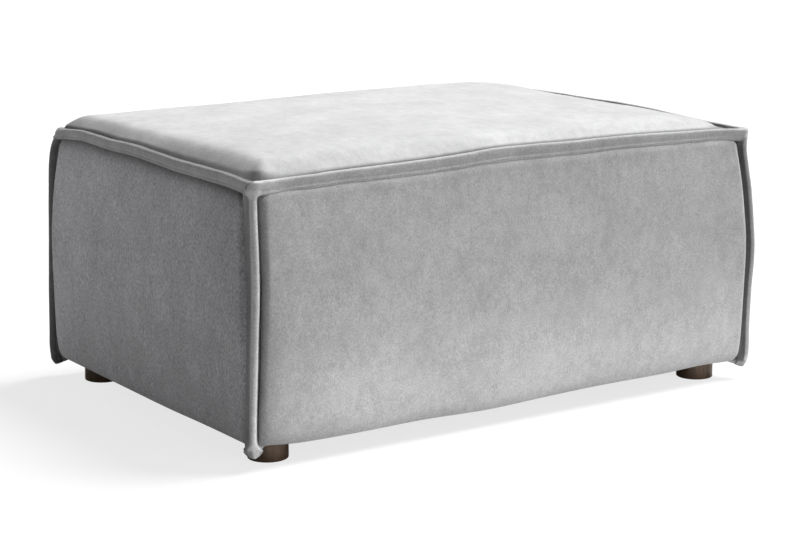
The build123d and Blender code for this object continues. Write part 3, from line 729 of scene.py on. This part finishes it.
def top_shade(way_x, way_y, spot, facing, off_corner):
    """Painted light and shade on the top flange: a light and a dark line where it is stitched through, dark on the
    right one's inner face and on the left one's outer face, which ends in a light lip, and a dark line down the near
    corner."""
    side, along = on_side(spot.x, spot.y)
    above_seam = EDGES[side](along) - spot.z - BANDS[side](along)
    painted_stitch_lines = fading(above_seam + LIGHT_LINE_AT, *LIGHT_LINE) - fading(above_seam + DARK_LINE_AT, *DARK_LINE)
    off = 1 - exp(-(off_corner / LINES_FROM_CORNER) ** 4)
    shade = FLANGE_LEVEL + off * painted_stitch_lines * (LINES_ON_LEFT if side == "left" else 1)
    if side == "right":
        return shade - INNER_DARKER * max(0, -facing.x)
    if side == "back":
        return shade
    frontward = -facing.y / max(0.3, hypot(facing.x, facing.y))
    left_share = clamped((LEFT_BELOW - frontward) / LEFT_BELOW_RUN) if facing.z < FACES_UP else side == "left"
    near = exp(-(off_corner / NEAR_WITHIN) ** 4) if way_x < 0 and way_y < 0 else 0
    outer_face = OUTER_DARKER + OUTER_DARKER_ABOVE * max(0, facing.z) - fading(facing.z - LIP_AT, *LIP)
    shade += FRONT_LIGHTER - left_share * outer_face + NEAR_LIGHTER * near * (1 - left_share)
    return shade - near * fading(frontward - NEAR_LINE_AT, *NEAR_LINE) * (1 - abs(facing.z))


def flange_shade(spot, facing):
    """The painted shade of the top flange, which passes into the upright ones' below it at the corners."""
    way_x, way_y = 1 if spot.x > 0 else -1, 1 if spot.y > 0 else -1
    from_corner = spot - Vector((way_x * HALF_LENGTH, way_y * HALF_DEPTH, 0))
    diagonal = Vector((way_x, way_y, 0)).normalized()
    upright = clamped((min(abs(spot.x) - HALF_LENGTH, abs(spot.y) - HALF_DEPTH) + JOINED_INSIDE) / JOINED_BAND)
    upright *= clamped((JOINED_AT - spot.z) / JOINED_RUN)
    top = top_shade(way_x, way_y, spot, facing, hypot(from_corner.x, from_corner.y))
    return top + (upright_shade(way_x, way_y, spot, facing, from_corner, diagonal) - top) * upright


# Light and shade painted into the flanges' colour
paint_shade(skin, flange_shade)
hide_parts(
    *[f"{side}_top_flange" for side in SIDES],
    "front_left_flange", "front_right_flange", "back_right_flange", "back_left_flange",
)


# Dust cover: thin black non-woven cloth stretched under the frame and stapled round its edge.
# It hangs down a little in the two bays beside the stretcher, and is cut out round the feet.
DUST_HALF_LENGTH, DUST_HALF_DEPTH, DUST_STEP = 435, 294, 30
BAY, BAY_HALF_DEPTH, DUST_SAG, DUST_WAVE = 400, 270, 5, 0.5


def cut_grid(bm, half_x, half_y, step):
    """Cuts a flat piece across and along, so that it can sag."""
    for way, half in ((Vector((1, 0, 0)), half_x), (Vector((0, 1, 0)), half_y)):
        for i in range(-int(half / step), int(half / step) + 1):
            cut_through(bm, way * i * step, way)


def nonwoven_surface(material):
    """Pressed polypropylene fibres in clumps 1.8 mm wide, black with a dull sheen and a slight relief."""
    place = add(material, "ShaderNodeTexCoord").outputs["Object"]
    colour, fibres = mottle(material, place, 1.8, EVEN, "17171a", "2b2b2e")
    felted = add(material, "ShaderNodeBump", {"Height": fibres, "Strength": 0.5, "Distance": 0.2 * MM})
    return add(material, "ShaderNodeBsdfPrincipled", {
        "Base Color": colour, "Roughness": 0.85, "Specular IOR Level": 0.3, "Normal": felted.outputs[0],
    }).outputs[0]


bm = cad_copy("dust_cover")
cut_grid(bm, DUST_HALF_LENGTH, DUST_HALF_DEPTH, DUST_STEP)
for vert in bm.verts:
    bay = sin(pi * abs(vert.co.x) / BAY) if abs(vert.co.x) < BAY else 0
    middle = cos(pi * vert.co.y / 2 / BAY_HALF_DEPTH) if abs(vert.co.y) < BAY_HALF_DEPTH else 0
    wave = DUST_WAVE * abs(ripple(vert.co.x, vert.co.y, 1, 60))
    vert.co.z -= DUST_SAG * bay * middle ** 0.8 + wave * bay * middle
dust = piece("dust_cloth", bm, finish_of("black_nonwoven_polypropylene", nonwoven_surface))
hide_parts("dust_cover")


# Deck felt: needled grey felt over the springs, turned down on the rails and stapled, which keeps
# the foam out of the wire. It sags a little between the rails.
DECK_HALF_LENGTH, DECK_HALF_DEPTH, DECK_STEP = 440, 299, 34
# It hangs free inside these
FREE_HALF_LENGTH, FREE_HALF_DEPTH, DECK_SAG = 430, 290, 0.25


def needlefelt_surface(material):
    """Needled mixed fibres, flecked grey every 2.2 mm and clouded over 30 mm, and quite dull."""
    place = add(material, "ShaderNodeTexCoord").outputs["Object"]
    colour, fibres = mottle(material, place, 2.2, EVEN, "565452", "7d7a76")
    colour, _ = mottle(material, place, 30, EVEN, "d8d8d8", "ffffff", over=colour)
    felted = add(material, "ShaderNodeBump", {"Height": fibres, "Strength": 0.6, "Distance": 0.5 * MM})
    return add(material, "ShaderNodeBsdfPrincipled", {
        "Base Color": colour, "Roughness": 0.95, "Normal": felted.outputs[0],
    }).outputs[0]


bm = cad_copy("deck_felt")
cut_grid(bm, DECK_HALF_LENGTH, DECK_HALF_DEPTH, DECK_STEP)
for vert in bm.verts:
    if abs(vert.co.x) < FREE_HALF_LENGTH and abs(vert.co.y) < FREE_HALF_DEPTH:
        vert.co.z -= DECK_SAG + DECK_SAG * ripple(vert.co.x, vert.co.y, 4, 70)
deck = piece("spring_deck_felt", bm, finish_of("grey_needlefelt", needlefelt_surface))
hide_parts("deck_felt")


# Frame: planed softwood posts and rails, dowelled with beech and closed with thin hardboard.
# The wood shows its growth rings as long soft stripes along each board.
ENDS = ("front_left", "front_right", "back_right", "back_left")


def pine_surface(material, along):
    """Planed wood, its rings 9 mm apart and its pores drawn out along the board, with a faint relief. Real
    pores are too fine to show, so they are drawn 2 mm wide."""
    place = add(material, "ShaderNodeTexCoord").outputs["Object"]
    colour, rings = mottle(material, place, 9, along, "c3a06c", "dcc193")
    colour, _ = mottle(material, place, 2, along, "e6dccb", "ffffff", over=colour)
    planed = add(material, "ShaderNodeBump", {"Height": rings, "Strength": 0.15, "Distance": 0.3 * MM})
    return add(material, "ShaderNodeBsdfPrincipled", {
        "Base Color": colour, "Roughness": 0.6, "Normal": planed.outputs[0],
    }).outputs[0]


def hardboard_surface(material):
    """Pressed wood fibre in flecks of 3 mm and blotches of 60 mm, brown, and smooth on its face."""
    place = add(material, "ShaderNodeTexCoord").outputs["Object"]
    colour, pressed = mottle(material, place, 3, EVEN, "5e4330", "785942")
    colour, _ = mottle(material, place, 60, EVEN, "e0e0e0", "ffffff", over=colour)
    smooth_face = add(material, "ShaderNodeBump", {"Height": pressed, "Strength": 0.1, "Distance": 0.2 * MM})
    return add(material, "ShaderNodeBsdfPrincipled", {
        "Base Color": colour, "Roughness": 0.5, "Normal": smooth_face.outputs[0],
    }).outputs[0]


def finish_nodes(material, *names):
    """Gives the carried-over CAD nodes their material."""
    for name in names:
        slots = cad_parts[name].data.materials
        slots.clear()
        slots.append(material)


upright_pine = finish_of("planed_pine_upright", pine_surface, (1, 1, 0.06))
finish_nodes(upright_pine, *[f"{end}_post" for end in ENDS], "front_strut", "back_strut")
long_rails = [f"{side}_{level}_rail" for side in ("front", "back") for level in ("top", "bottom")]
cross_rails = [f"{side}_{level}_rail" for side in ("left", "right") for level in ("top", "bottom")]
finish_nodes(finish_of("planed_pine_lengthwise", pine_surface, (0.06, 1, 1)), *long_rails)
finish_nodes(finish_of("planed_pine_crosswise", pine_surface, (1, 0.06, 1)), *cross_rails, "cross_stretcher")
finish_nodes(finish_of("fluted_beech_dowel", pine_surface, (0.4, 0.4, 0.4)), "rail_dowels")
finish_nodes(finish_of("pressed_hardboard", hardboard_surface), *[f"{side}_board" for side in SIDES])


# Springs and fixings: hard-drawn wire with a dark oiled skin, and zinc-plated clips, nails, screws,
# inserts and studs, with the cloudy grey of plain zinc.
def wire_surface(material, low, high, rough):
    """Oiled or plated steel, clouded every 5 mm between two greys, with a very faint relief."""
    place = add(material, "ShaderNodeTexCoord").outputs["Object"]
    colour, spots = mottle(material, place, 5, EVEN, low, high)
    drawn = add(material, "ShaderNodeBump", {"Height": spots, "Strength": 0.1, "Distance": 0.1 * MM})
    return add(material, "ShaderNodeBsdfPrincipled", {
        "Base Color": colour, "Metallic": 1.0, "Roughness": rough, "Normal": drawn.outputs[0],
    }).outputs[0]


oiled_steel = finish_of("oiled_spring_steel", wire_surface, "5c5a58", "7a7876", 0.38)
zinc_steel = finish_of("zinc_plated_steel", wire_surface, "9c9d9a", "b9bab6", 0.34)
finish_nodes(oiled_steel, "seat_springs", "tie_wires")
finish_nodes(zinc_steel, "spring_clips", "clip_nails", "stretcher_screws", "foot_inserts", "foot_studs")


# Feet: short turned beech plugs under satin dark bronze-brown lacquer, screwed into the corner posts.
# The lacquer has metal flakes in it and gives each a weak upright gleam.
def lacquer_surface(material):
    """Flaked lacquer over upright grain 7 mm wide, under a thin clear coat."""
    place = add(material, "ShaderNodeTexCoord").outputs["Object"]
    tone, grain = mottle(material, place, 7, (1, 1, 0.15), "4b3c30", "5f4d3d")
    brushed = add(material, "ShaderNodeBump", {"Height": grain, "Strength": 0.08, "Distance": 0.2 * MM})
    return add(material, "ShaderNodeBsdfPrincipled", {
        "Base Color": tone, "Metallic": 0.45, "Roughness": 0.3, "Specular IOR Level": 0.5, "Normal": brushed.outputs[0],
        "Coat Weight": 0.25, "Coat Roughness": 0.2,
    }).outputs[0]


finish_nodes(finish_of("bronze_brown_lacquered_beech", lacquer_surface), *[f"{end}_foot" for end in ENDS])


# Floor and light: a wide pale floor that the eye sees nearly white, with the ottoman's soft shadow.
# A broad lamp stands high at the right, a weaker one low in front and a soft box behind the left end,
# and a strip just above the floor in front throws light up on the lower front, as a white card does.
FLOOR_SIZE, FLOOR_CLOUDS, SEEN_WHITE = 30, 400, 0.75
WORLD_LIGHT, WORLD_SEEN = 0.16, 1.0


def floor_surface(material):
    """Pale grey to the light, and nearly white to the eye, which keeps a quarter of the shadow."""
    seen = add(material, "ShaderNodeLightPath").outputs["Is Camera Ray"]
    place = add(material, "ShaderNodeTexCoord").outputs["Object"]
    grain, _ = mottle(material, place, FLOOR_CLOUDS, EVEN, "969696", "9c9c9c")
    tone = add(material, "ShaderNodeMix", {0: seen, 6: grain, 7: linear("f4f4f4")}, data_type="RGBA")
    matt = add(material, "ShaderNodeBsdfDiffuse", {"Color": tone.outputs[2]})
    white = add(material, "ShaderNodeEmission", {"Color": linear("ffffff"), "Strength": 1.0})
    share = add(material, "ShaderNodeMath", {0: seen, 1: SEEN_WHITE}, operation="MULTIPLY")
    mixed = {0: share.outputs[0], 1: matt.outputs[0], 2: white.outputs[0]}
    return add(material, "ShaderNodeMixShader", mixed).outputs[0]


bm = bmesh.new()
bmesh.ops.create_grid(bm, x_segments=2, y_segments=2, size=FLOOR_SIZE)
mesh = bpy.data.meshes.new("floor")
bm.to_mesh(mesh)
bm.free()
floor = bpy.data.objects.new("floor", mesh)
bpy.context.scene.collection.objects.link(floor)
mesh.materials.append(finish_of("pale_floor", floor_surface))

world = bpy.data.worlds.new("studio")
bpy.context.scene.world = world
world.use_nodes = True
world.node_tree.nodes.clear()
ray = add(world, "ShaderNodeLightPath")
looked_at = {0: ray.outputs["Is Camera Ray"], 1: ray.outputs["Is Glossy Ray"]}
plain = add(world, "ShaderNodeMath", looked_at, operation="MAXIMUM")
strength = add(world, "ShaderNodeMix", {0: plain.outputs[0], 2: WORLD_LIGHT, 3: WORLD_SEEN})
sky = add(world, "ShaderNodeBackground", {"Color": (1, 1, 1, 1), "Strength": strength.outputs[0]})
add(world, "ShaderNodeOutputWorld", {"Surface": sky.outputs[0]})


def lamp(name, kind, energy, place, turn):
    """A lamp in its place. The eye sees no area lamp."""
    light = bpy.data.lights.new(name, kind)
    light.energy = energy
    holder = bpy.data.objects.new(name, light)
    holder.location = place
    holder.rotation_euler = turn
    holder.visible_camera = kind != "AREA"
    bpy.context.scene.collection.objects.link(holder)
    return light


def sun(name, azimuth, height, strength, spread):
    """A soft distant lamp that shines from an azimuth, 0 at the front and 90 at the right."""
    lamp(name, "SUN", strength, (0, 0, 0), (radians(90 - height), 0, radians(azimuth))).angle = radians(spread)


sun("high_right", 80, 54, 6.2, 40)
sun("low_front", 18, 12, 0.52, 12)

soft_box_place = Vector((-1.45, 1.6, 0.3))
to_left_end = Vector((-0.447, 0, 0.25)) - soft_box_place
soft_box = lamp("back_left", "AREA", 7.2, soft_box_place, to_left_end.to_track_quat("-Z", "Y").to_euler())
soft_box.shape = "SQUARE"
soft_box.size = 0.9

card = lamp("floor_card", "AREA", 0.75, (0.05, -0.5, 0.045), (radians(115), 0, 0))
card.shape = "RECTANGLE"
card.size = 1.15
card.size_y = 0.06
